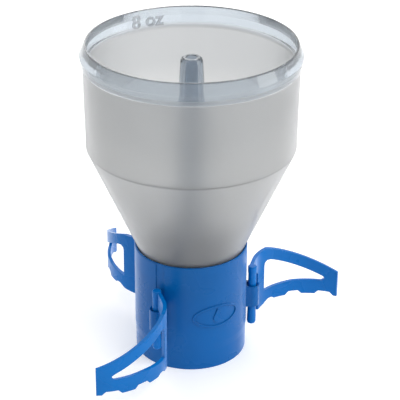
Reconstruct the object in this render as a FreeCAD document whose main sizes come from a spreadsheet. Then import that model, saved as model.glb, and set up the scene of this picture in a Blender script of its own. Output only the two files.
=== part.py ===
import FreeCAD, Part
import math
import os
import Sketcher
from FreeCAD import Placement, Rotation, Vector

# Flow-through funnel that stands on a cup: a clear hopper with a central vent tube, pushed into a
# short filter base that carries three swing-out legs.
# Frame: +Z up along the axis of the funnel, origin at the centre of the base's bottom face,
# +X through the hinge of leg_a. Millimetres.

doc = FreeCAD.newDocument("CupFunnel")
sheet = doc.addObject("Spreadsheet::Sheet", "Sizes")

SIZES = [
    # filter base
    ("base_height", 43.6, "foot to rim"),
    ("base_radius", 21.3, "outside of the wall"),
    ("outlet_radius", 21.05, "outside of the plain part that hangs into the cup"),
    ("outlet_height", 7.6, "length of that part"),
    ("bore_radius", 19.6, "inside of the wall"),
    ("rim_bore_radius", 20.65, "flared mouth of the bore"),
    ("seat_top", 28.0, "ledge that the hopper's neck stands on"),
    ("seat_radius", 17.0, "opening of that ledge"),
    ("shelf_top", 3.2, "shelf under the filter screen"),
    ("shelf_radius", 17.4, "opening of that shelf"),
    ("foot_bore_radius", 19.0, "recess below the shelf"),
    ("rim_round", 0.45, "rounding of the rim's outer edge"),
    # hinges
    ("hinge_radius", 23.4, "hinge axis from the funnel's axis"),
    ("sleeve_bottom", 17.2, "lower end of the hinge sleeve"),
    ("sleeve_top", 25.8, "upper end of the hinge sleeve"),
    ("sleeve_radius", 2.75, "outside of the sleeve"),
    ("sleeve_bore_radius", 1.45, "running bore"),
    ("sleeve_mouth_radius", 2.25, "countersunk mouth"),
    ("sleeve_mouth_depth", 1.3, "depth of that countersink"),
    ("slot_width", 3.5, "shallow slot in the wall above each sleeve"),
    ("slot_floor", 20.98, "floor of that slot from the axis"),
    # raised oval badge
    ("badge_angle", 300.0, "direction the badge faces"),
    ("badge_height", 22.4, "centre of the badge"),
    ("badge_face", 21.7, "face of the raised lines from the axis"),
    # legs
    ("leg_inner_radius", 26.35, "concave face of the leg"),
    ("leg_root_thickness", 1.45, "at the strut"),
    ("leg_tip_thickness", 1.1, "at the tip"),
    ("leg_bend_angle", 45.0, "where the arc tightens towards the pin, measured from the hinge"),
    ("leg_end_angle", 102.0, "tip"),
    ("leg_bottom", 8.0, "lowest point of the strut"),
    ("leg_top", 33.1, "upper edge"),
    ("leg_view_angle", 72.0, "direction that the outline is cut along"),
    ("arm_reach", 1.5, "outer face of the straight arm from the hinge axis"),
    ("arm_length", 6.2, "straight part of the arm"),
    ("arm_bottom", 26.3, "underside of the arm that joins pin and strut"),
    ("pin_radius", 1.7, "hinge pin"),
    ("journal_radius", 1.38, "pin inside the sleeve"),
    ("pin_waist", 1.55, "necked parts of the pin"),
    ("pin_top", 33.7, "top of the pin"),
    ("pin_bottom", 8.7, "rounded end of the pin"),
    # hopper
    ("neck_bottom", 28.05, "neck standing on the seat"),
    ("neck_radius", 18.9, "outside of the neck"),
    ("neck_bore_radius", 16.9, "inside of the neck"),
    ("neck_top", 40.4, "where the neck opens into the cone"),
    ("shoulder_height", 84.4, "seam between cone and wall"),
    ("shoulder_radius", 38.45, "outside at the seam"),
    ("wall_top", 113.0, "where the collar starts"),
    ("wall_top_radius", 38.85, "outside at that height"),
    ("collar_height", 119.5, "widest ring of the collar"),
    ("collar_radius", 40.0, "outside of that ring"),
    ("hopper_height", 123.7, "lip"),
    ("lip_radius", 38.15, "outside of the lip"),
    ("ledge_height", 117.2, "fill ledge inside the collar"),
    ("wall_thickness", 1.25, "hopper wall"),
    ("groove_height", 35.0, "middle of the seal groove"),
    ("groove_radius", 17.85, "floor of that groove"),
    ("plate_seat", 30.0, "ledge in the neck under the drip plate"),
    ("plate_seat_radius", 15.6, "opening of that ledge"),
    # drip plate and vent tube
    ("plate_radius", 16.75, "drip plate"),
    ("plate_thickness", 1.6, "drip plate"),
    ("hole_radius", 0.75, "drip holes"),
    ("tube_top", 118.0, "tip of the vent tube"),
    ("tube_tip_radius", 4.05, "outside at the tip"),
    ("tube_root_radius", 5.7, "outside at the foot"),
    ("tube_bore_tip", 2.1, "bore at the tip"),
    ("tube_bore_root", 3.5, "bore at the foot"),
    ("tube_flange_radius", 7.6, "foot flange"),
    # seal and screen
    ("seal_section", 0.8, "radius of the ring's section"),
    ("seal_radius", 18.72, "centre line of the ring's section"),
    ("screen_radius", 19.3, "filter screen"),
    ("screen_thickness", 0.35, "filter screen"),
    ("ring_inner_radius", 17.3, "retaining ring"),
    ("ring_height", 1.9, "retaining ring"),
]

for row, (alias, number, note) in enumerate(SIZES, 1):
    sheet.set("A%d" % row, alias)
    sheet.set("B%d" % row, str(number))
    sheet.setAlias("B%d" % row, alias)
    sheet.set("C%d" % row, note)
doc.recompute()

HINGE_ANGLES = {"leg_a": 0.0, "leg_b": 120.0, "leg_c": 240.0}
# Swing of each leg as it stands: direction from the hinge to the centre of the leg's arc,
# measured from the outward radial line.
LEG_SWING = {"leg_a": -11.5, "leg_b": -38.0, "leg_c": -42.2}


def size(alias):
    return float(getattr(sheet, alias))


def value(item):
    """A coordinate is a number, the name of a size, or (name, offset)."""
    if isinstance(item, tuple):
        return size(item[0]) + item[1]
    return size(item) if isinstance(item, str) else float(item)


def bound(item):
    """The expression that ties a coordinate to the sheet, or None for a plain number."""
    if isinstance(item, tuple):
        return "Sizes.%s + (%g)" % item
    return "Sizes." + item if isinstance(item, str) else None


def new_body(label):
    body = doc.addObject("PartDesign::Body", label)
    body.Label = label
    return body


def origin_feature(body, role):
    return next(item for item in body.Origin.OriginFeatures if item.Role == role)


def new_sketch(body, role, name, base=(0, 0, 0), turn=0.0):
    """Sketch on one of the body's origin planes, moved by base and turned about the plane's Y."""
    sketch = body.newObject("Sketcher::SketchObject", name)
    sketch.AttachmentSupport = [(origin_feature(body, role), "")]
    sketch.MapMode = "FlatFace"
    sketch.AttachmentOffset = Placement(Vector(*[value(item) for item in base]),
                                        Rotation(Vector(0, 1, 0), turn))
    for letter, item in zip("xyz", base):
        if bound(item):
            sketch.setExpression("AttachmentOffset.Base." + letter, bound(item))
    return sketch


def pin_point(sketch, geometry, point, x, y):
    """Fix one sketch point at (x, y), each tied to the sheet where it names a size."""
    for kind, axis, item in (("DistanceX", -2, x), ("DistanceY", -1, y)):
        if abs(value(item)) < 1e-9:
            sketch.addConstraint(Sketcher.Constraint("PointOnObject", geometry, point, axis))
            continue
        index = sketch.addConstraint(
            Sketcher.Constraint(kind, -1, 1, geometry, point, value(item)))
        if bound(item):
            sketch.setExpression("Constraints[%d]" % index, bound(item))


def add_outline(sketch, points):
    """Closed outline of straight lines through the points."""
    spots = [Vector(value(x), value(y), 0) for x, y in points]
    count = len(points)
    first = sketch.GeometryCount
    for i in range(count):
        sketch.addGeometry(Part.LineSegment(spots[i], spots[(i + 1) % count]), False)
    for i in range(count):
        following = first + (i + 1) % count
        sketch.addConstraint(Sketcher.Constraint("Coincident", first + i, 2, following, 1))
    for i, (x, y) in enumerate(points):
        pin_point(sketch, first + i, 1, x, y)


def add_circle(sketch, x, y, radius):
    spot = Vector(value(x), value(y), 0)
    index = sketch.addGeometry(Part.Circle(spot, Vector(0, 0, 1), value(radius)), False)
    pin_point(sketch, index, 3, x, y)
    limit = sketch.addConstraint(Sketcher.Constraint("Radius", index, value(radius)))
    if bound(radius):
        sketch.setExpression("Constraints[%d]" % limit, bound(radius))


def volume(body):
    doc.recompute()
    return body.Shape.Volume if body.Shape.Solids else 0.0


def checked(body, feature, before, grows):
    """Stop if a feature changed the body the wrong way or not at all."""
    change = volume(body) - before
    if change * (1 if grows else -1) < 1e-3:
        raise RuntimeError("%s in %s changed nothing" % (feature.Name, body.Label))
    return feature


def revolve(body, sketch, angle=360.0, cut=False, middle=False):
    """Turn the sketch about its own vertical axis."""
    before = volume(body)
    kind = "PartDesign::Groove" if cut else "PartDesign::Revolution"
    feature = body.newObject(kind, sketch.Name + "Turn")
    feature.Profile = sketch
    feature.ReferenceAxis = (sketch, ["V_Axis"])
    feature.Angle = angle
    feature.Midplane = middle
    sketch.Visibility = False
    return checked(body, feature, before, not cut)


def pad(body, sketch, length, name=None):
    before = volume(body)
    feature = body.newObject("PartDesign::Pad", name or sketch.Name + "Pad")
    feature.Profile = sketch
    feature.Length = value(length)
    return checked(body, feature, before, True)


def pocket(body, sketch, length):
    before = volume(body)
    feature = body.newObject("PartDesign::Pocket", sketch.Name + "Cut")
    feature.Profile = sketch
    feature.Length = length
    return checked(body, feature, before, False)


def ring_edges(body, rings):
    """Names of the full circular edges at the given (radius, height) pairs."""
    names = []
    for number, edge in enumerate(body.Shape.Edges, 1):
        if not isinstance(edge.Curve, Part.Circle):
            continue
        for radius, height in rings:
            centre = edge.Curve.Center
            if (abs(edge.Curve.Radius - value(radius)) < 0.02
                    and abs(centre.z - value(height)) < 0.02
                    and math.hypot(centre.x, centre.y) < 0.01):
                names.append("Edge%d" % number)
    return names


def blend(body, names, radius, name):
    """Round the named edges of the body's last feature."""
    if not names:
        raise RuntimeError("no edge for %s in %s" % (name, body.Label))
    base = body.Tip
    feature = body.newObject("PartDesign::Fillet", name)
    feature.Base = (base, names)
    feature.Radius = value(radius)
    if isinstance(radius, str):
        feature.setExpression("Radius", bound(radius))
    doc.recompute()
    return feature


def polar_pattern(body, originals, count, name):
    feature = body.newObject("PartDesign::PolarPattern", name)
    feature.Originals = originals
    feature.Axis = (origin_feature(body, "Z_Axis"), [""])
    feature.Angle = 360.0
    feature.Occurrences = count
    body.Tip = feature
    doc.recompute()
    return feature


# ---- filter base -------------------------------------------------------------------------

def badge_plane(body, name, distance):
    """Upright sketch plane that faces the badge's direction, a given distance from the axis."""
    turn = size("badge_angle") - 270.0
    reach = math.radians(turn)
    sketch = new_sketch(body, "XZ_Plane", name, (0, 0, 0), turn)
    sketch.AttachmentOffset = Placement(
        Vector(distance * math.sin(reach), 0, distance * math.cos(reach)),
        Rotation(Vector(0, 1, 0), turn))
    return sketch


def build_badge(body):
    """Raised oval line with a water drop inside it, following the curve of the wall."""
    centre = size("badge_height")
    oval = badge_plane(body, "BadgeOval", 16.5)
    for wide, high in ((9.3, 4.5), (8.6, 3.85)):
        oval.addGeometry(Part.Ellipse(Vector(0, centre, 0), wide, high), False)
    pad(body, oval, 8.0)
    drop = badge_plane(body, "BadgeDrop", 18.5)
    radius, tip = 1.6, 3.1
    reach = math.asin(radius / (tip + 0.9))
    low = Vector(0, centre - 0.9, 0)
    left = low + Vector(-radius * math.cos(reach), radius * math.sin(reach), 0)
    right = low + Vector(radius * math.cos(reach), radius * math.sin(reach), 0)
    top = Vector(0, centre + tip, 0)
    drop.addGeometry(Part.LineSegment(right, top), False)
    drop.addGeometry(Part.LineSegment(top, left), False)
    drop.addGeometry(Part.Arc(left, low + Vector(0, -radius, 0), right), False)
    for one, two in ((0, 1), (1, 2), (2, 0)):
        drop.addConstraint(Sketcher.Constraint("Coincident", one, 2, two, 1))
    pad(body, drop, 6.0)
    trim = badge_plane(body, "BadgeFace", 0.0)
    add_outline(trim, [("badge_face", ("badge_height", -6.0)), (30.0, ("badge_height", -6.0)),
                       (30.0, ("badge_height", 6.0)), ("badge_face", ("badge_height", 6.0))])
    trim.AttachmentOffset = Placement(Vector(0, 0, 0),
                                      Rotation(Vector(0, 1, 0), size("badge_angle")))
    revolve(body, trim, 80.0, cut=True, middle=True)


def build_base():
    """Blue tube with three hinge sleeves outside, a seat for the hopper and a screen shelf."""
    body = new_body("base_body")
    outside = new_sketch(body, "XZ_Plane", "Outside")
    add_outline(outside, [(0, 0), ("outlet_radius", 0), ("outlet_radius", "outlet_height"),
                          ("base_radius", ("outlet_height", 3.0)), ("base_radius", "base_height"),
                          (0, "base_height")])
    revolve(body, outside)
    build_badge(body)
    blend(body, ring_edges(body, [("base_radius", "base_height")]), "rim_round", "RimRound")

    bore = new_sketch(body, "XZ_Plane", "Bore")
    add_outline(bore, [(0, -1.0), ("foot_bore_radius", -1.0), ("foot_bore_radius", 1.8),
                       ("shelf_radius", 1.8), ("shelf_radius", "shelf_top"),
                       ("bore_radius", "shelf_top"), ("bore_radius", ("seat_top", -3.2)),
                       ("seat_radius", ("seat_top", -1.2)), ("seat_radius", "seat_top"),
                       ("bore_radius", "seat_top"), ("bore_radius", ("base_height", -3.6)),
                       ("rim_bore_radius", ("base_height", -1.2)),
                       ("rim_bore_radius", ("base_height", 1.0)), (0, ("base_height", 1.0))])
    revolve(body, bore, cut=True)

    sleeve = new_sketch(body, "XY_Plane", "Sleeve", (0, 0, "sleeve_bottom"))
    x, r = size("hinge_radius"), size("sleeve_radius")
    sleeve.addGeometry(Part.LineSegment(Vector(x, -r, 0), Vector(20.2, -r, 0)), False)
    sleeve.addGeometry(Part.LineSegment(Vector(20.2, -r, 0), Vector(20.2, r, 0)), False)
    sleeve.addGeometry(Part.LineSegment(Vector(20.2, r, 0), Vector(x, r, 0)), False)
    sleeve.addGeometry(Part.Arc(Vector(x, r, 0), Vector(x + r, 0, 0), Vector(x, -r, 0)), False)
    for one, two, ends in ((0, 1, (2, 1)), (1, 2, (2, 1)), (2, 3, (2, 2)), (3, 0, (1, 1))):
        sleeve.addConstraint(Sketcher.Constraint("Coincident", one, ends[0], two, ends[1]))
    pin_point(sleeve, 3, 3, "hinge_radius", 0)
    limit = sleeve.addConstraint(Sketcher.Constraint("Radius", 3, r))
    sleeve.setExpression("Constraints[%d]" % limit, "Sizes.sleeve_radius")
    sleeve_pad = pad(body, sleeve, size("sleeve_top") - size("sleeve_bottom"))
    sleeve_pad.setExpression("Length", "Sizes.sleeve_top - Sizes.sleeve_bottom")

    hinge = new_sketch(body, "XZ_Plane", "HingeBore", ("hinge_radius", 0, 0))
    mouth = size("sleeve_top") - size("sleeve_mouth_depth")
    add_outline(hinge, [(0, ("sleeve_bottom", -0.5)), ("sleeve_bore_radius", ("sleeve_bottom", -0.5)),
                        ("sleeve_bore_radius", mouth), ("sleeve_mouth_radius", "sleeve_top"),
                        ("sleeve_mouth_radius", ("sleeve_top", 0.5)), (0, ("sleeve_top", 0.5))])
    hinge_cut = revolve(body, hinge, cut=True)

    slot = new_sketch(body, "XY_Plane", "Slot", (0, 0, ("base_height", 1.0)))
    half = size("slot_width") / 2.0
    add_outline(slot, [("slot_floor", -half), (23.0, -half), (23.0, half), ("slot_floor", half)])
    slot_cut = pocket(body, slot, size("base_height") + 1.0 - size("sleeve_top"))
    polar_pattern(body, [sleeve_pad, hinge_cut, slot_cut], 3, "ThreeHinges")
    return body


# ---- legs --------------------------------------------------------------------------------
# Each leg is drawn about the centre of its own arc, with the hinge on the -X side. Angles along
# the leg run from the hinge towards the tip, clockwise seen from above.

def on_arc(radius, angle):
    reach = math.radians(180.0 - angle)
    return Vector(radius * math.cos(reach), radius * math.sin(reach), 0)


def leg_plate(body):
    """Curved plate from the pin to the tip, thinner at the tip, before its outline is cut."""
    inner, bend, end = size("leg_inner_radius"), size("leg_bend_angle"), size("leg_end_angle")
    thick, thin = size("leg_root_thickness"), size("leg_tip_thickness")
    straight, far = size("arm_length"), size("hinge_radius") + size("arm_reach")
    plan = new_sketch(body, "XY_Plane", "PlatePlan", (0, 0, "leg_bottom"))

    def side(face, tip_face, distance):
        """Straight, tight arc, wide arc: the points of one face from the pin to the tip."""
        turn, start = math.radians(bend), Vector(-distance, straight, 0)
        bent, tip = on_arc(face, bend), on_arc(tip_face, end)
        tight = start + (bent - start) * 0.5
        across = Vector(-(bent - start).y, (bent - start).x, 0).normalize()
        tight += across * ((bent - start).Length / 2.0 * math.tan(turn / 4.0))
        wide = on_arc((face + tip_face) / 2.0, (bend + end) / 2.0)
        return Vector(-distance, 0.6, 0), start, tight, bent, wide, tip

    outside = side(inner + thick, inner + thin, far)
    inside = side(inner, inner, far - thick)
    for foot, start, tight, bent, wide, tip in (outside, inside):
        plan.addGeometry(Part.LineSegment(foot, start), False)
        plan.addGeometry(Part.Arc(start, tight, bent), False)
        plan.addGeometry(Part.Arc(bent, wide, tip), False)
    plan.addGeometry(Part.LineSegment(outside[-1], inside[-1]), False)
    plan.addGeometry(Part.LineSegment(inside[0], outside[0]), False)
    feature = pad(body, plan, size("leg_top") - size("leg_bottom"))
    feature.setExpression("Length", "Sizes.leg_top - Sizes.leg_bottom")


def leg_gap(body):
    """Opening below the arm, between the pin and the edge of the strut."""
    side = new_sketch(body, "YZ_Plane", "ArmGap")
    add_outline(side, [(-2.0, 7.0), (10.9, 7.0), (9.8, ("arm_bottom", -1.5)),
                       (8.3, "arm_bottom"), (-2.0, "arm_bottom")])
    pocket(body, side, 40.0)


def leg_pin(body):
    """Hinge pin: plain top, necked shank, thin journal in the sleeve and a bulb below it."""
    pin = new_sketch(body, "XZ_Plane", "Pin", (-size("hinge_radius"), 0, 0))
    pin.setExpression("AttachmentOffset.Base.x", "-Sizes.hinge_radius")
    top, low, bulb = "pin_top", "sleeve_bottom", "pin_bottom"
    mouth = size("sleeve_top") - size("sleeve_mouth_depth")
    add_outline(pin, [(0, bulb), (1.0, bulb), (1.5, (bulb, 0.35)), ("pin_radius", (bulb, 1.0)),
                      ("pin_radius", (bulb, 2.6)), ("pin_waist", (low, -1.2)),
                      ("pin_waist", (low, -0.3)),
                      ("journal_radius", (low, -0.3)), ("journal_radius", mouth + 0.35),
                      (1.6, mouth + 0.75), (1.6, ("sleeve_top", 0.9)),
                      ("pin_waist", ("sleeve_top", 2.0)), ("pin_waist", (top, -3.4)),
                      ("pin_radius", (top, -2.4)), ("pin_radius", (top, -0.25)),
                      (1.4, top), (0, top)])
    revolve(body, pin)


def leg_outline(body):
    """Sloping top, window and toothed lower edge, all cut along one level direction."""
    turn = 90.0 - size("leg_view_angle")
    cuts = {
        "Slope": [(-15.6, 33.1), (22.0, 17.0), (22.0, 40.0), (-15.6, 40.0)],
        "Window": [(-16.0, 14.6), (-4.7, 15.75), (7.3, 15.75), (8.3, 16.4), (8.5, 17.3),
                   (7.7, 17.95), (-13.4, 27.65), (-14.9, 27.9), (-15.8, 27.2), (-16.0, 26.0)],
        "Teeth": [(-26.0, 4.0), (-26.0, 8.0), (-19.4, 8.0), (-16.3, 8.8), (-14.2, 10.3),
                  (-12.7, 10.4), (-11.5, 9.6), (-6.9, 9.6), (-5.5, 11.1), (-1.7, 11.1),
                  (-0.3, 9.7), (4.9, 9.7), (6.3, 11.1), (10.6, 11.1), (11.9, 9.8),
                  (18.0, 9.8), (18.0, 4.0)],
    }
    for name, points in cuts.items():
        sketch = new_sketch(body, "XZ_Plane", name, (0, 0, 0), turn)
        add_outline(sketch, points)
        pocket(body, sketch, 40.0)


def leg_corners(body):
    """Soften the corners of the outline: the short edges that run along the cutting direction."""
    turn = math.radians(size("leg_view_angle"))
    along = Vector(-math.cos(turn), math.sin(turn), 0)
    names = []
    for number, edge in enumerate(body.Shape.Edges, 1):
        if isinstance(edge.Curve, Part.Line) and edge.Length < 3.0:
            reach = (edge.Vertexes[-1].Point - edge.Vertexes[0].Point).normalize()
            if abs(reach.dot(along)) > 0.999:
                names.append("Edge%d" % number)
    blend(body, names, 0.4, "OutlineCorners")


def build_leg(label):
    body = new_body(label)
    leg_plate(body)
    leg_gap(body)
    leg_outline(body)
    leg_corners(body)
    leg_pin(body)
    angle = math.radians(HINGE_ANGLES[label])
    turn = HINGE_ANGLES[label] + LEG_SWING[label]
    reach = size("hinge_radius")
    centre = Vector(reach * math.cos(angle) + reach * math.cos(math.radians(turn)),
                    reach * math.sin(angle) + reach * math.sin(math.radians(turn)), 0)
    body.Placement = Placement(centre, Rotation(Vector(0, 0, 1), turn))
    return body


# ---- hopper and what is in it ------------------------------------------------------------

def build_hopper():
    """Clear hopper: neck, cone, near-upright wall and a polished collar with a fill ledge."""
    body = new_body("hopper")
    wall = size("wall_thickness")
    cone = math.atan2(size("shoulder_radius") - size("neck_radius"),
                      size("shoulder_height") - size("neck_top"))
    step = wall * math.tan(cone / 2.0)
    inner_rise = (size("neck_radius") - wall / math.cos(cone) - size("neck_bore_radius")) / math.tan(cone)
    profile = new_sketch(body, "XZ_Plane", "Profile")
    add_outline(profile, [
        ("plate_seat_radius", "neck_bottom"), (("neck_radius", -0.4), "neck_bottom"),
        ("neck_radius", ("neck_bottom", 0.4)), ("neck_radius", ("groove_height", -0.9)),
        ("groove_radius", ("groove_height", -0.9)), ("groove_radius", ("groove_height", 0.9)),
        ("neck_radius", ("groove_height", 0.9)),
        ("neck_radius", "neck_top"), ("shoulder_radius", "shoulder_height"),
        ("wall_top_radius", "wall_top"), (("wall_top_radius", 0.1), ("wall_top", 2.3)),
        (("collar_radius", -0.6), ("wall_top", 3.1)), ("collar_radius", "collar_height"),
        ("lip_radius", ("hopper_height", -0.15)), (("lip_radius", -0.15), "hopper_height"),
        (("lip_radius", -0.6), "hopper_height"), (("lip_radius", -0.75), ("hopper_height", -0.2)),
        (("lip_radius", -0.15), ("ledge_height", 0.2)), (("wall_top_radius", -1.65), "ledge_height"),
        (("wall_top_radius", -1.65), ("ledge_height", -0.9)),
        (("wall_top_radius", -wall), ("ledge_height", -2.2)),
        (("wall_top_radius", -wall), "wall_top"), (("shoulder_radius", -wall), ("shoulder_height", step)),
        ("neck_bore_radius", size("neck_top") - inner_rise), ("neck_bore_radius", "plate_seat"),
        ("plate_seat_radius", "plate_seat")])
    revolve(body, profile)
    blend(body, ring_edges(body, [("shoulder_radius", "shoulder_height")]), 0.6, "SeamRound")
    blend(body, ring_edges(body, [("collar_radius", "collar_height")]), 1.0, "CollarRound")
    return body


def build_drip_plate():
    """Perforated disc on the ledge in the neck, with a hole for the foot of the vent tube."""
    body = new_body("drip_plate")
    disc = new_sketch(body, "XY_Plane", "Disc", (0, 0, ("plate_seat", 0.0)))
    add_circle(disc, 0, 0, "plate_radius")
    add_circle(disc, 0, 0, 4.6)
    pad(body, disc, "plate_thickness").setExpression("Length", "Sizes.plate_thickness")
    for index, (radius, count) in enumerate(((9.4, 12), (11.8, 18), (14.2, 24))):
        hole = new_sketch(body, "XY_Plane", "Hole%d" % index, (0, 0, ("plate_seat", 3.0)))
        add_circle(hole, radius, 0, "hole_radius")
        cut = pocket(body, hole, 6.0)
        polar_pattern(body, [cut], count, "Holes%d" % index)
    return body


def build_vent_tube():
    """Tapered air tube that stands on the drip plate and opens above the fill line."""
    body = new_body("vent_tube")
    foot = size("plate_seat") + size("plate_thickness")
    profile = new_sketch(body, "XZ_Plane", "Profile")
    add_outline(profile, [
        ("tube_bore_root", ("plate_seat", -1.0)), (4.5, ("plate_seat", -1.0)), (4.5, foot),
        ("tube_flange_radius", foot), ("tube_flange_radius", foot + 0.9),
        (("tube_root_radius", 0.9), foot + 1.3), ("tube_root_radius", foot + 2.6),
        (("tube_tip_radius", 0.5), ("tube_top", -10.0)), ("tube_tip_radius", ("tube_top", -1.4)),
        (("tube_tip_radius", -0.35), ("tube_top", -0.45)), (("tube_tip_radius", -1.0), "tube_top"),
        (("tube_bore_tip", 0.1), "tube_top"), ("tube_bore_tip", ("tube_top", -0.3)),
        (("tube_bore_tip", 0.3), ("tube_top", -10.0))])
    revolve(body, profile)
    return body


def build_seal():
    """Round silicone ring in the neck's groove."""
    ring = doc.addObject("Part::Torus", "seal_ring")
    ring.Label = "seal_ring"
    ring.setExpression("Radius1", "Sizes.seal_radius")
    ring.setExpression("Radius2", "Sizes.seal_section")
    ring.setExpression("Placement.Base.z", "Sizes.groove_height")
    return ring


def build_screen():
    """Fine filter disc that lies on the shelf near the foot of the base."""
    disc = doc.addObject("Part::Cylinder", "filter_screen")
    disc.Label = "filter_screen"
    disc.setExpression("Radius", "Sizes.screen_radius")
    disc.setExpression("Height", "Sizes.screen_thickness")
    disc.setExpression("Placement.Base.z", "Sizes.shelf_top")
    return disc


def build_retaining_ring():
    """Plain ring pressed into the bore on top of the screen."""
    body = new_body("retaining_ring")
    profile = new_sketch(body, "XZ_Plane", "Profile")
    low = size("shelf_top") + size("screen_thickness")
    add_outline(profile, [("ring_inner_radius", low), (("bore_radius", -0.05), low),
                          (("bore_radius", -0.05), low + size("ring_height")),
                          (("ring_inner_radius", 0.9), low + size("ring_height")),
                          ("ring_inner_radius", low + size("ring_height") - 0.9)])
    revolve(body, profile)
    return body


nodes = [build_base(), build_screen(), build_retaining_ring(), build_hopper(),
         build_drip_plate(), build_vent_tube(), build_seal()]
nodes += [build_leg(label) for label in sorted(HINGE_ANGLES)]
doc.recompute()

for item in doc.Objects:
    if "Invalid" in item.State or "Error" in item.State:
        raise RuntimeError("%s failed: %s" % (item.Name, item.State))
os.makedirs("parts", exist_ok=True)
for node in nodes:
    shape = node.Shape
    if shape.isNull() or not shape.isValid() or len(shape.Solids) != 1:
        raise RuntimeError("%s has a bad shape" % node.Label)
    shape.exportStep("parts/%s.step" % node.Label)
    print("%-16s %9.1f mm3" % (node.Label, shape.Volume))
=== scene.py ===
import math

import bmesh
import bpy
from bpy.props import FloatProperty, FloatVectorProperty, PointerProperty, StringProperty
from mathutils import Matrix, Vector


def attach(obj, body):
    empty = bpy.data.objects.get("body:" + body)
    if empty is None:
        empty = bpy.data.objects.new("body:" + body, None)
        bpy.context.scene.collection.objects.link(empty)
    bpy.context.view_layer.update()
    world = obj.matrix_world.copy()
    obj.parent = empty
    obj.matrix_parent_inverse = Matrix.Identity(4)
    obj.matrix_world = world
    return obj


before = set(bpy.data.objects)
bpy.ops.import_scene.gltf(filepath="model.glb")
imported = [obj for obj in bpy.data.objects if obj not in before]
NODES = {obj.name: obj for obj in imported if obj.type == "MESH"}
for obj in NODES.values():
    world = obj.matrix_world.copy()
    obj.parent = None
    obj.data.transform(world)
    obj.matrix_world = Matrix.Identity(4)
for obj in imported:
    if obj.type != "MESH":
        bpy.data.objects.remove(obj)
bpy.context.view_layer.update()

bl_info = {
    "name": "Cup Funnel",
    "version": (1, 0, 0),
    "blender": (4, 5, 0),
    "location": "View3D > Sidebar > Cup Funnel",
    "description": "Finishes, fill mark and studio for a clear funnel that stands on a cup",
    "category": "Object",
}

# Radii and heights in the hopper, in metres, between which its zones change.
INNER_RADII = (0.0376, 0.0380)
OUTER_RADII = (0.0382, 0.0385)
NECK_HEIGHTS = (0.0400, 0.0412)
UPPER_WALL_HEIGHTS = (0.088, 0.104)
LIP_HEIGHTS = (0.1231, 0.1236)
SEAM_HALF_WIDTH = 0.0007
POLISH_BLEND = 0.0003


# ---- settings ----------------------------------------------------------------------------

def colour(name, description, default):
    return FloatVectorProperty(name=name, description=description, default=default, size=3,
                               min=0.0, max=1.0, subtype="COLOR")


def length(name, description, default):
    return FloatProperty(name=name, description=description, default=default, unit="LENGTH",
                         subtype="DISTANCE", precision=5)


def factor(name, description, default):
    return FloatProperty(name=name, description=description, default=default, min=0.0, max=1.0,
                         subtype="FACTOR")


class FunnelClearSettings(bpy.types.PropertyGroup):
    """Look of the clear plastic pieces."""
    frosted: colour("Frosted wall", "Tint of the frosted wall of the hopper", (0.665, 0.672, 0.675))
    # Painted reflection: a paler colour painted where the wall is seen edge on, in place of the
    # bright surroundings mirrored there.
    limb_reflection: colour("Limb", "Paler tint of the wall where it is seen edge on", (0.95, 0.96, 0.98))
    # Painted shade: the upper wall is painted darker on its inside than on its outside.
    inside: colour("Inner wall", "Tint of the upper wall on its inside", (0.50, 0.515, 0.53))
    polished: colour("Polished collar", "Tint of the polished collar", (0.60, 0.655, 0.71))
    tube: colour("Vent tube", "Tint of the vent tube", (0.52, 0.585, 0.66))
    plate: colour("Drip plate", "Tint of the drip plate", (0.62, 0.65, 0.69))
    wall_roughness: factor("Wall roughness", "Roughness of the frosted wall", 0.33)
    collar_roughness: factor("Collar roughness", "Roughness of the polished collar", 0.05)
    collar_start: length("Collar start", "Height where the outside turns from frosted to polished",
                         0.1158)
    ledge_start: length("Ledge", "Height where the inside turns from frosted to polished", 0.1172)
    seam: length("Seam", "Height of the seam between cone and wall", 0.0844)


class FunnelBlueSettings(bpy.types.PropertyGroup):
    """Look of the blue plastic pieces."""
    # Painted shade: this blue is darker than the leg blue because it stands for the base's shaded
    # front; the plastic is the same.
    base: colour("Base", "Colour of the filter base", (0.0, 0.105, 0.36))
    leg: colour("Legs", "Colour of the legs", (0.0, 0.15, 0.50))
    # Painted reflection: a paler blue painted where the plastic is seen edge on, in place of the
    # bright surroundings mirrored there.
    limb_reflection: colour("Limb", "Paler blue that shows where the plastic is seen edge on",
                 (0.30, 0.48, 0.85))
    reflection_share: factor("Limb share", "How much of that paler blue shows", 0.45)
    ring: colour("Retaining ring", "Colour of the ring above the screen", (0.0, 0.06, 0.27))
    roughness: factor("Roughness", "Roughness of the blue plastic", 0.30)
    edge_round: length("Edge rounding", "Rounding that the edges show", 0.00028)


class FunnelFilterSettings(bpy.types.PropertyGroup):
    """Look of the filter screen and of the seal."""
    steel: colour("Steel", "Colour of the woven wire", (0.60, 0.61, 0.63))
    pitch: length("Mesh pitch", "Distance between neighbouring wires", 0.0006)
    rubber: colour("Seal", "Colour of the silicone seal", (0.20, 0.21, 0.225))


class FunnelMarkSettings(bpy.types.PropertyGroup):
    """The raised fill mark inside the collar."""
    tint: colour("Tint", "Tint of the raised letters", (0.78, 0.80, 0.82))
    words: StringProperty(name="Words", description="What the fill mark says", default="8 oz")
    height: length("Letter height", "Height of a figure", 0.0052)
    relief: length("Relief", "How far the letters stand out of the wall", 0.0004)
    level: length("Level", "Height of the middle of the mark above the foot", 0.1192)
    radius: length("Wall radius", "Inner radius of the wall behind the mark", 0.0374)
    direction: FloatProperty(name="Direction", description="Direction of the mark from the axis",
                             default=math.radians(119.0), subtype="ANGLE")


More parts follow.
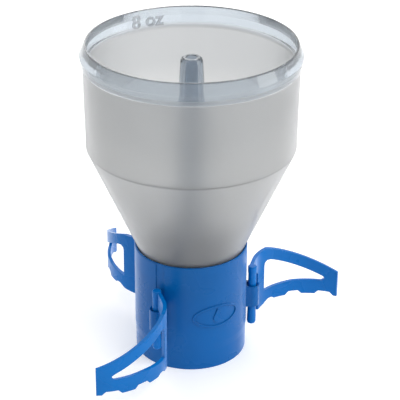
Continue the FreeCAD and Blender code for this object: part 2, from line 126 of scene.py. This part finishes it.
class FunnelStageSettings(bpy.types.PropertyGroup):
    """Floor, light and camera."""
    floor: colour("Floor", "Colour of the floor", (0.97, 0.97, 0.965))
    lift: factor("Floor lift", "Light that the floor gives off, which softens its shadows", 0.16)
    backdrop: colour("Backdrop", "Colour of the surroundings behind the funnel", (1.0, 1.0, 1.0))
    room: colour("Room", "Colour of the dim room on the camera's side", (0.24, 0.245, 0.255))
    glow: FloatProperty(name="Surroundings", description="Strength of the surrounding light",
                        default=1.05, min=0.0)
    key_power: FloatProperty(name="Key light", description="Power of the large key light",
                             default=2.6, min=0.0, unit="POWER")
    camera_distance: length("Camera distance", "Camera from the point it looks at", 0.5758)
    camera_height: length("Aim height", "Height of the point that the camera looks at", 0.06106)
    camera_offset: length("Aim offset", "How far the camera stands to its own right", 0.00329)
    camera_azimuth: FloatProperty(name="Azimuth", description="Camera direction round the funnel",
                                  default=math.radians(2.1), subtype="ANGLE")
    camera_elevation: FloatProperty(name="Elevation", description="Camera above the horizon",
                                    default=math.radians(26.9), subtype="ANGLE")
    camera_roll: FloatProperty(name="Roll", description="Camera turned about its own axis",
                               default=math.radians(0.385), subtype="ANGLE")
    lens: FloatProperty(name="Lens", description="Focal length in millimetres on a 36 mm sensor",
                        default=139.4, min=1.0, subtype="DISTANCE_CAMERA")


# ---- material tools ----------------------------------------------------------------------

def add(tree, kind, values=(), **settings):
    """New node; values maps input names or numbers to a constant or to a socket."""
    node = tree.nodes.new(kind)
    for key, value in settings.items():
        setattr(node, key, value)
    for key, value in dict(values).items():
        socket = node.inputs[key]
        if isinstance(value, bpy.types.NodeSocket):
            tree.links.new(value, socket)
        else:
            socket.default_value = value
    return node


def mix_colour(tree, factor_value, one, two, blend="MIX"):
    """Socket with the mix of two colours."""
    node = tree.nodes.new("ShaderNodeMix")
    node.data_type = "RGBA"
    node.blend_type = blend
    for index, value in ((0, factor_value), (6, one), (7, two)):
        if isinstance(value, bpy.types.NodeSocket):
            tree.links.new(value, node.inputs[index])
        else:
            node.inputs[index].default_value = value if index == 0 else (*value[:3], 1.0)
    return node.outputs[2]


def ranged(tree, value, low, high, to_low=0.0, to_high=1.0, smooth=False):
    """Socket with value mapped from one range to another."""
    node = add(tree, "ShaderNodeMapRange",
               {"Value": value, "From Min": low, "From Max": high, "To Min": to_low,
                "To Max": to_high},
               interpolation_type="SMOOTHSTEP" if smooth else "LINEAR")
    return node.outputs[0]


def sums(tree, operation, one, two):
    return add(tree, "ShaderNodeMath", {0: one, 1: two}, operation=operation).outputs[0]


def new_group(name, inputs, outputs):
    """Empty node group with its sockets; each socket is (name, kind, default)."""
    group = bpy.data.node_groups.new(name, "ShaderNodeTree")
    for label, kind, default in inputs:
        socket = group.interface.new_socket(label, in_out="INPUT", socket_type=kind)
        if default is not None:
            socket.default_value = default
    for label, kind in outputs:
        group.interface.new_socket(label, in_out="OUTPUT", socket_type=kind)
    return group, group.nodes.new("NodeGroupInput"), group.nodes.new("NodeGroupOutput")


def grain_group():
    """Moulded surface: fine grain height, broad smudges for gloss, and a soft tint mask."""
    group, given, out = new_group(
        "MouldedSurface",
        [("Vector", "NodeSocketVector", None), ("Grain", "NodeSocketFloat", 2600.0)],
        [("Height", "NodeSocketFloat"), ("Smudge", "NodeSocketFloat"),
         ("Tint", "NodeSocketFloat")])
    vector = given.outputs["Vector"]
    fine = add(group, "ShaderNodeTexNoise", {"Vector": vector, "Scale": given.outputs["Grain"],
                                             "Detail": 3.0, "Roughness": 0.6}).outputs[0]
    flow = add(group, "ShaderNodeTexNoise", {"Vector": vector, "Scale": 70.0, "Detail": 4.0,
                                             "Distortion": 0.6}).outputs[0]
    broad = add(group, "ShaderNodeTexNoise", {"Vector": vector, "Scale": 24.0,
                                              "Detail": 2.0}).outputs[0]
    height = sums(group, "ADD", sums(group, "MULTIPLY", fine, 0.5),
                  sums(group, "MULTIPLY", flow, 0.6))
    group.links.new(height, out.inputs["Height"])
    group.links.new(ranged(group, flow, 0.35, 0.7, 0.0, 1.0, True), out.inputs["Smudge"])
    group.links.new(ranged(group, broad, 0.3, 0.7, 0.0, 1.0, True), out.inputs["Tint"])
    return group


def weave_group():
    """Woven wire: height of the wires and a mask that is 1 on wire."""
    group, given, out = new_group(
        "WovenWire", [("Vector", "NodeSocketVector", None), ("Pitch", "NodeSocketFloat", 0.0006)],
        [("Height", "NodeSocketFloat"), ("Wire", "NodeSocketFloat")])
    parts = add(group, "ShaderNodeSeparateXYZ", {0: given.outputs["Vector"]})
    turns = sums(group, "DIVIDE", math.tau, given.outputs["Pitch"])
    waves, ridges = [], []
    for axis in (0, 1):
        phase = sums(group, "MULTIPLY", parts.outputs[axis], turns)
        waves.append(add(group, "ShaderNodeMath", {0: phase}, operation="COSINE").outputs[0])
        half = sums(group, "MULTIPLY", phase, 0.5)
        ridges.append(add(group, "ShaderNodeMath", {0: half}, operation="SINE").outputs[0])
    over = sums(group, "MULTIPLY", ridges[0], ridges[1])
    warp = sums(group, "ADD", waves[0], sums(group, "MULTIPLY", over, 0.35))
    weft = sums(group, "SUBTRACT", waves[1], sums(group, "MULTIPLY", over, 0.35))
    height = sums(group, "MAXIMUM", warp, weft)
    group.links.new(height, out.inputs["Height"])
    group.links.new(ranged(group, height, 0.05, 0.25), out.inputs["Wire"])
    return group


def zone_group(outer, inner, seam):
    """Zones of the hopper: frosted wall and cone, seam line, thin lip and upper inner wall."""
    group, given, out = new_group(
        "HopperZones", [("Vector", "NodeSocketVector", None)],
        [("Frost", "NodeSocketFloat"), ("Seam", "NodeSocketFloat"), ("Lip", "NodeSocketFloat"),
         ("Upper Inside", "NodeSocketFloat")])
    parts = add(group, "ShaderNodeSeparateXYZ", {0: given.outputs["Vector"]})
    height = parts.outputs[2]
    level = add(group, "ShaderNodeCombineXYZ", {0: parts.outputs[0], 1: parts.outputs[1]})
    reach = add(group, "ShaderNodeVectorMath", {0: level.outputs[0]},
                operation="LENGTH").outputs[1]
    inside = ranged(group, reach, *INNER_RADII, 1.0, 0.0, True)
    upper = ranged(group, height, *UPPER_WALL_HEIGHTS, 0.0, 1.0, True)
    group.links.new(sums(group, "MULTIPLY", inside, upper), out.inputs["Upper Inside"])
    outside = ranged(group, reach, *OUTER_RADII)
    start = ranged(group, outside, 0.0, 1.0, inner, outer)
    above = sums(group, "SUBTRACT", height, start)
    collar = ranged(group, above, -POLISH_BLEND, POLISH_BLEND, 1.0, 0.0, True)
    neck = ranged(group, height, *NECK_HEIGHTS, 0.0, 1.0, True)
    group.links.new(sums(group, "MULTIPLY", collar, neck), out.inputs["Frost"])
    away = sums(group, "ABSOLUTE", sums(group, "SUBTRACT", height, seam), 0.0)
    group.links.new(ranged(group, away, 0.0, SEAM_HALF_WIDTH, 1.0, 0.0, True),
                    out.inputs["Seam"])
    group.links.new(ranged(group, height, *LIP_HEIGHTS, 0.0, 1.0, True), out.inputs["Lip"])
    return group


def group_node(tree, group, values):
    node = tree.nodes.new("ShaderNodeGroup")
    node.node_tree = group
    for key, value in values.items():
        if isinstance(value, bpy.types.NodeSocket):
            tree.links.new(value, node.inputs[key])
        else:
            node.inputs[key].default_value = value
    return node


def shared(name, maker, *given):
    """A node group made once and used by every material that needs it."""
    return bpy.data.node_groups.get(name) or maker(*given)


def start_material(name):
    """New material with its shader node and a vector in the piece's own coordinates."""
    material = bpy.data.materials.new(name)
    material.use_nodes = True
    tree = material.node_tree
    shader = next(n for n in tree.nodes if n.type == "BSDF_PRINCIPLED")
    place = add(tree, "ShaderNodeTexCoord").outputs["Object"]
    vector = add(tree, "ShaderNodeMapping", {"Vector": place}).outputs[0]
    return material, tree, shader, vector


def set_shader(shader, **values):
    for key, value in values.items():
        shader.inputs[key.replace("_", " ")].default_value = value


def bump(tree, height, strength, distance, normal=None):
    values = {"Height": height, "Strength": strength, "Distance": distance}
    if normal is not None:
        values["Normal"] = normal
    return add(tree, "ShaderNodeBump", values).outputs[0]


def tinted(tree, surface, base, spread=0.08):
    """Base colour with a soft darker and lighter drift."""
    dark = tuple(channel * (1.0 - spread) for channel in base)
    light = tuple(min(1.0, channel * (1.0 + spread)) for channel in base)
    return mix_colour(tree, surface.outputs["Tint"], dark, light)


def grazing(tree, low, high):
    """Mask that is 0 where a surface faces the viewer and 1 where it is seen edge on."""
    facing = add(tree, "ShaderNodeLayerWeight", {"Blend": 0.5}).outputs["Facing"]
    return ranged(tree, facing, low, high, 0.0, 1.0, True)


def blue_material(name, base, settings, grain=2600.0):
    """Satin moulded plastic with fine grain, smudges, softened edges and painted edge-on
    reflection.
    """
    material, tree, shader, vector = start_material(name)
    surface = group_node(tree, shared("MouldedSurface", grain_group),
                         {"Vector": vector, "Grain": grain})
    # Painted reflection: paler blue mixed in where the surface is seen edge on.
    limb_reflection = sums(tree, "MULTIPLY", grazing(tree, 0.55, 1.0), settings.reflection_share)
    tree.links.new(mix_colour(tree, limb_reflection, tinted(tree, surface, base), settings.limb_reflection),
                   shader.inputs["Base Color"])
    rough = ranged(tree, surface.outputs["Smudge"], 0.0, 1.0, settings.roughness - 0.04,
                   settings.roughness + 0.06)
    tree.links.new(rough, shader.inputs["Roughness"])
    edge = add(tree, "ShaderNodeBevel", {"Radius": settings.edge_round}, samples=6).outputs[0]
    tree.links.new(bump(tree, surface.outputs["Height"], 0.10, 0.00005, edge),
                   shader.inputs["Normal"])
    set_shader(shader, IOR=1.46, Specular_IOR_Level=0.2)
    return material


def clear_material(name, base, roughness, grain_strength=0.06, transmission=0.9):
    """Clear smoky plastic with one gloss all over."""
    material, tree, shader, vector = start_material(name)
    surface = group_node(tree, shared("MouldedSurface", grain_group), {"Vector": vector})
    tree.links.new(tinted(tree, surface, base, 0.04), shader.inputs["Base Color"])
    rough = ranged(tree, surface.outputs["Smudge"], 0.0, 1.0, roughness, roughness + 0.05)
    tree.links.new(rough, shader.inputs["Roughness"])
    tree.links.new(bump(tree, surface.outputs["Height"], grain_strength, 0.00004),
                   shader.inputs["Normal"])
    set_shader(shader, IOR=1.49, Transmission_Weight=transmission)
    return material


def hopper_material(settings):
    """Frosted wall that turns into a polished collar."""
    material, tree, shader, vector = start_material("hopper_clear")
    surface = group_node(tree, shared("MouldedSurface", grain_group), {"Vector": vector})
    zone = group_node(tree, shared("HopperZones", zone_group, settings.collar_start,
                                   settings.ledge_start, settings.seam), {"Vector": vector})
    frost = zone.outputs["Frost"]
    walls = tinted(tree, surface, settings.frosted, 0.03)
    shade = tuple(channel * 0.72 for channel in settings.frosted)
    walls = mix_colour(tree, zone.outputs["Seam"], walls, shade)
    # Painted reflection: paler colour mixed in where the wall is seen edge on.
    walls = mix_colour(tree, grazing(tree, 0.45, 1.0), walls, settings.limb_reflection)
    # Painted shade: the upper wall darkened on its inside.
    walls = mix_colour(tree, zone.outputs["Upper Inside"], walls, settings.inside)
    # Painted dark reflection: a dark line painted along the lip in place of the dark surroundings
    # seen through the clear rim.
    painted_lip_line = tuple(channel * 0.32 for channel in settings.polished)
    collar = mix_colour(tree, zone.outputs["Lip"], settings.polished, painted_lip_line)
    tree.links.new(mix_colour(tree, frost, collar, walls), shader.inputs["Base Color"])
    matt = ranged(tree, surface.outputs["Smudge"], 0.0, 1.0, settings.wall_roughness,
                  settings.wall_roughness + 0.06)
    rough = add(tree, "ShaderNodeMix", {0: frost, 2: settings.collar_roughness, 3: matt})
    tree.links.new(rough.outputs[0], shader.inputs["Roughness"])
    strength = ranged(tree, frost, 0.0, 1.0, 0.03, 0.22)
    tree.links.new(bump(tree, surface.outputs["Height"], strength, 0.00006),
                   shader.inputs["Normal"])
    set_shader(shader, IOR=1.49, Transmission_Weight=0.87)
    return material


def mesh_material(settings):
    """Fine woven steel screen."""
    material, tree, shader, vector = start_material("screen_steel")
    surface = group_node(tree, shared("MouldedSurface", grain_group), {"Vector": vector})
    weave = group_node(tree, shared("WovenWire", weave_group),
                       {"Vector": vector, "Pitch": settings.pitch})
    steel = tinted(tree, surface, settings.steel, 0.12)
    # Painted shade: the holes between the wires are painted near black for the shade seen through
    # them.
    painted_gap_shade = tuple(channel * 0.06 for channel in settings.steel)
    tree.links.new(mix_colour(tree, weave.outputs["Wire"], painted_gap_shade, steel),
                   shader.inputs["Base Color"])
    tree.links.new(ranged(tree, weave.outputs["Wire"], 0.0, 1.0, 0.9, 0.28),
                   shader.inputs["Roughness"])
    tree.links.new(bump(tree, weave.outputs["Height"], 0.8, 0.00012), shader.inputs["Normal"])
    set_shader(shader, Metallic=0.9)
    return material


def rubber_material(settings):
    """Soft silicone with dust-fine grain."""
    material, tree, shader, vector = start_material("seal_rubber")
    surface = group_node(tree, shared("MouldedSurface", grain_group),
                         {"Vector": vector, "Grain": 1500.0})
    tree.links.new(tinted(tree, surface, settings.rubber, 0.15), shader.inputs["Base Color"])
    tree.links.new(ranged(tree, surface.outputs["Smudge"], 0.0, 1.0, 0.5, 0.7),
                   shader.inputs["Roughness"])
    tree.links.new(bump(tree, surface.outputs["Height"], 0.3, 0.00008), shader.inputs["Normal"])
    set_shader(shader, IOR=1.41)
    return material


def finish(node_names, material):
    """Give CAD nodes a material."""
    for name in node_names:
        if name not in NODES:
            raise RuntimeError("the frame has no node named " + name)
        mesh = NODES[name].data
        mesh.materials.clear()
        mesh.materials.append(material)


def add_piece(name, mesh, material, body):
    """New piece that rides on a CAD body."""
    mesh.materials.clear()
    mesh.materials.append(material)
    piece = bpy.data.objects.new(name, mesh)
    bpy.context.scene.collection.objects.link(piece)
    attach(piece, body)
    return piece


# ---- pieces ------------------------------------------------------------------------------

class FUNNEL_OT_hopper(bpy.types.Operator):
    """Finish the hopper with its frosted wall and polished collar"""
    bl_idname = "funnel.hopper"
    bl_label = "Hopper"

    def execute(self, context):
        settings = context.scene.funnel_clear
        finish(["hopper"], hopper_material(settings))
        return {"FINISHED"}


class FUNNEL_OT_inside(bpy.types.Operator):
    """Finish the vent tube and the drip plate"""
    bl_idname = "funnel.inside"
    bl_label = "Vent tube and drip plate"

    def execute(self, context):
        settings = context.scene.funnel_clear
        finish(["vent_tube"], clear_material("tube_clear", settings.tube, 0.08))
        finish(["drip_plate"], clear_material("plate_clear", settings.plate, 0.22))
        return {"FINISHED"}


class FUNNEL_OT_base(bpy.types.Operator):
    """Finish the filter base"""
    bl_idname = "funnel.base"
    bl_label = "Filter base"

    def execute(self, context):
        settings = context.scene.funnel_blue
        finish(["base_body"], blue_material("blue_base", settings.base, settings))
        return {"FINISHED"}


class FUNNEL_OT_legs(bpy.types.Operator):
    """Finish the three legs"""
    bl_idname = "funnel.legs"
    bl_label = "Legs"

    def execute(self, context):
        settings = context.scene.funnel_blue
        finish(["leg_a", "leg_b", "leg_c"], blue_material("blue_leg", settings.leg, settings))
        return {"FINISHED"}


class FUNNEL_OT_filter(bpy.types.Operator):
    """Finish the filter screen, its retaining ring and the seal ring"""
    bl_idname = "funnel.filter"
    bl_label = "Screen, ring and seal"

    def execute(self, context):
        blue, rest = context.scene.funnel_blue, context.scene.funnel_filter
        finish(["filter_screen"], mesh_material(rest))
        finish(["retaining_ring"], blue_material("ring_plastic", blue.ring, blue, 1800.0))
        finish(["seal_ring"], rubber_material(rest))
        return {"FINISHED"}


class FUNNEL_OT_fill_mark(bpy.types.Operator):
    """Raise the fill mark on the inner wall of the collar"""
    bl_idname = "funnel.fill_mark"
    bl_label = "Fill mark"

    def execute(self, context):
        settings = context.scene.funnel_mark
        text = bpy.data.curves.new("fill_mark_text", "FONT")
        text.body = settings.words
        text.size = settings.height * 1.42
        text.extrude = settings.relief / 2.0
        text.bevel_depth = settings.relief * 0.2
        text.align_x, text.align_y = "CENTER", "CENTER"
        text.offset = 0.00008
        holder = bpy.data.objects.new("fill_mark_holder", text)
        context.scene.collection.objects.link(holder)
        context.view_layer.update()
        shape = holder.evaluated_get(context.evaluated_depsgraph_get())
        mesh = bpy.data.meshes.new_from_object(shape)
        bpy.data.objects.remove(holder)
        if not mesh.vertices:
            raise RuntimeError("the fill mark has no letters")
        drawn = bmesh.new()
        drawn.from_mesh(mesh)
        bmesh.ops.remove_doubles(drawn, verts=drawn.verts, dist=1e-6)
        for vertex in drawn.verts:
            x, y, z = vertex.co
            turn = settings.direction - x / settings.radius
            reach = settings.radius - settings.relief * 0.35 - z
            vertex.co = (reach * math.cos(turn), reach * math.sin(turn), settings.level + y)
        bmesh.ops.recalc_face_normals(drawn, faces=drawn.faces)
        drawn.to_mesh(mesh)
        drawn.free()
        look = clear_material("fill_mark_clear", settings.tint, 0.2, transmission=0.75)
        add_piece("fill_mark", mesh, look, "hopper_set")
        return {"FINISHED"}


class FUNNEL_OT_stage(bpy.types.Operator):
    """Set up the floor, the soft light and the camera"""
    bl_idname = "funnel.stage"
    bl_label = "Studio"

    def execute(self, context):
        scene, settings = context.scene, context.scene.funnel_stage
        add_floor(scene, settings)
        add_lights(scene, settings)
        add_camera(scene, settings)
        scene.view_settings.view_transform = "Standard"
        return {"FINISHED"}


def add_floor(scene, settings):
    mesh = bpy.data.meshes.new("floor")
    drawn = bmesh.new()
    bmesh.ops.create_grid(drawn, x_segments=1, y_segments=1, size=6.0)
    drawn.to_mesh(mesh)
    drawn.free()
    material, tree, shader, vector = start_material("floor")
    speck = add(tree, "ShaderNodeTexNoise", {"Vector": vector, "Scale": 30.0}).outputs[0]
    pale = tuple(channel * 0.99 for channel in settings.floor)
    tree.links.new(mix_colour(tree, speck, pale, settings.floor), shader.inputs["Base Color"])
    set_shader(shader, Roughness=0.7, Specular_IOR_Level=0.3, Emission_Strength=settings.lift,
               Emission_Color=(1.0, 1.0, 1.0, 1.0))
    mesh.materials.append(material)
    floor = bpy.data.objects.new("floor", mesh)
    scene.collection.objects.link(floor)


def add_lights(scene, settings):
    world = bpy.data.worlds.new("studio")
    world.use_nodes = True
    tree = world.node_tree
    sky = tree.nodes["Background"]
    towards = add(tree, "ShaderNodeTexCoord").outputs["Generated"]
    parts = add(tree, "ShaderNodeSeparateXYZ", {0: towards})
    front = ranged(tree, parts.outputs[1], -0.75, 0.1, 1.0, 0.0, True)
    low = ranged(tree, parts.outputs[2], 0.75, 0.35, 0.0, 1.0, True)
    room = mix_colour(tree, sums(tree, "MULTIPLY", front, low), settings.backdrop, settings.room)
    seen = add(tree, "ShaderNodeLightPath").outputs["Is Camera Ray"]
    tree.links.new(mix_colour(tree, seen, room, settings.backdrop), sky.inputs["Color"])
    sky.inputs["Strength"].default_value = settings.glow
    scene.world = world
    aim = Vector((0.0, 0.0, 0.06))
    lamps = (("key", (0.55, -0.35, 0.75), 0.45, 1.0), ("back", (-0.25, 0.75, 0.55), 0.5, 0.7),
             ("side", (0.9, -0.1, 0.25), 0.35, 0.45))
    for name, place, side, share in lamps:
        light = bpy.data.lights.new(name, "AREA")
        light.shape, light.size = "SQUARE", side
        light.energy = settings.key_power * share
        lamp = bpy.data.objects.new(name, light)
        lamp.location = place
        lamp.rotation_euler = (aim - Vector(place)).to_track_quat("-Z", "Y").to_euler()
        scene.collection.objects.link(lamp)


def add_camera(scene, settings):
    data = bpy.data.cameras.new("camera")
    data.sensor_width, data.lens = 36.0, settings.lens
    data.clip_start, data.clip_end = 0.01, 20.0
    camera = bpy.data.objects.new("camera", data)
    turn, lift = settings.camera_azimuth, settings.camera_elevation
    back = Vector((math.sin(turn) * math.cos(lift), -math.cos(turn) * math.cos(lift),
                   math.sin(lift)))
    facing = (-back).to_track_quat("-Z", "Y").to_matrix()
    right = facing @ Vector((1.0, 0.0, 0.0))
    place = Vector((0.0, 0.0, settings.camera_height)) + back * settings.camera_distance
    place += right * settings.camera_offset
    roll = Matrix.Rotation(settings.camera_roll, 3, "Z")
    camera.matrix_world = Matrix.Translation(place) @ (facing @ roll).to_4x4()
    scene.collection.objects.link(camera)
    scene.camera = camera


# ---- panel and registration --------------------------------------------------------------

OPERATORS = (FUNNEL_OT_hopper, FUNNEL_OT_inside, FUNNEL_OT_base, FUNNEL_OT_legs,
             FUNNEL_OT_filter, FUNNEL_OT_fill_mark, FUNNEL_OT_stage)
SETTINGS = (("funnel_clear", FunnelClearSettings), ("funnel_blue", FunnelBlueSettings),
            ("funnel_filter", FunnelFilterSettings), ("funnel_mark", FunnelMarkSettings),
            ("funnel_stage", FunnelStageSettings))


class FUNNEL_PT_panel(bpy.types.Panel):
    """Settings and steps of the cup funnel"""
    bl_idname = "FUNNEL_PT_panel"
    bl_label = "Cup Funnel"
    bl_space_type = "VIEW_3D"
    bl_region_type = "UI"
    bl_category = "Cup Funnel"

    def draw(self, context):
        for name, group in SETTINGS:
            box = self.layout.box()
            box.label(text=group.__doc__)
            for prop in group.__annotations__:
                box.prop(getattr(context.scene, name), prop)
        for operator in OPERATORS:
            self.layout.operator(operator.bl_idname)


def register():
    for name, group in SETTINGS:
        bpy.utils.register_class(group)
        setattr(bpy.types.Scene, name, PointerProperty(type=group))
    for operator in OPERATORS:
        bpy.utils.register_class(operator)
    bpy.utils.register_class(FUNNEL_PT_panel)


def unregister():
    bpy.utils.unregister_class(FUNNEL_PT_panel)
    for operator in reversed(OPERATORS):
        bpy.utils.unregister_class(operator)
    for name, group in reversed(SETTINGS):
        delattr(bpy.types.Scene, name)
        bpy.utils.unregister_class(group)


def main():
    register()
    for operator in OPERATORS:
        family, step = operator.bl_idname.split(".")
        getattr(getattr(bpy.ops, family), step)()


if __name__ == "__main__":
    main()
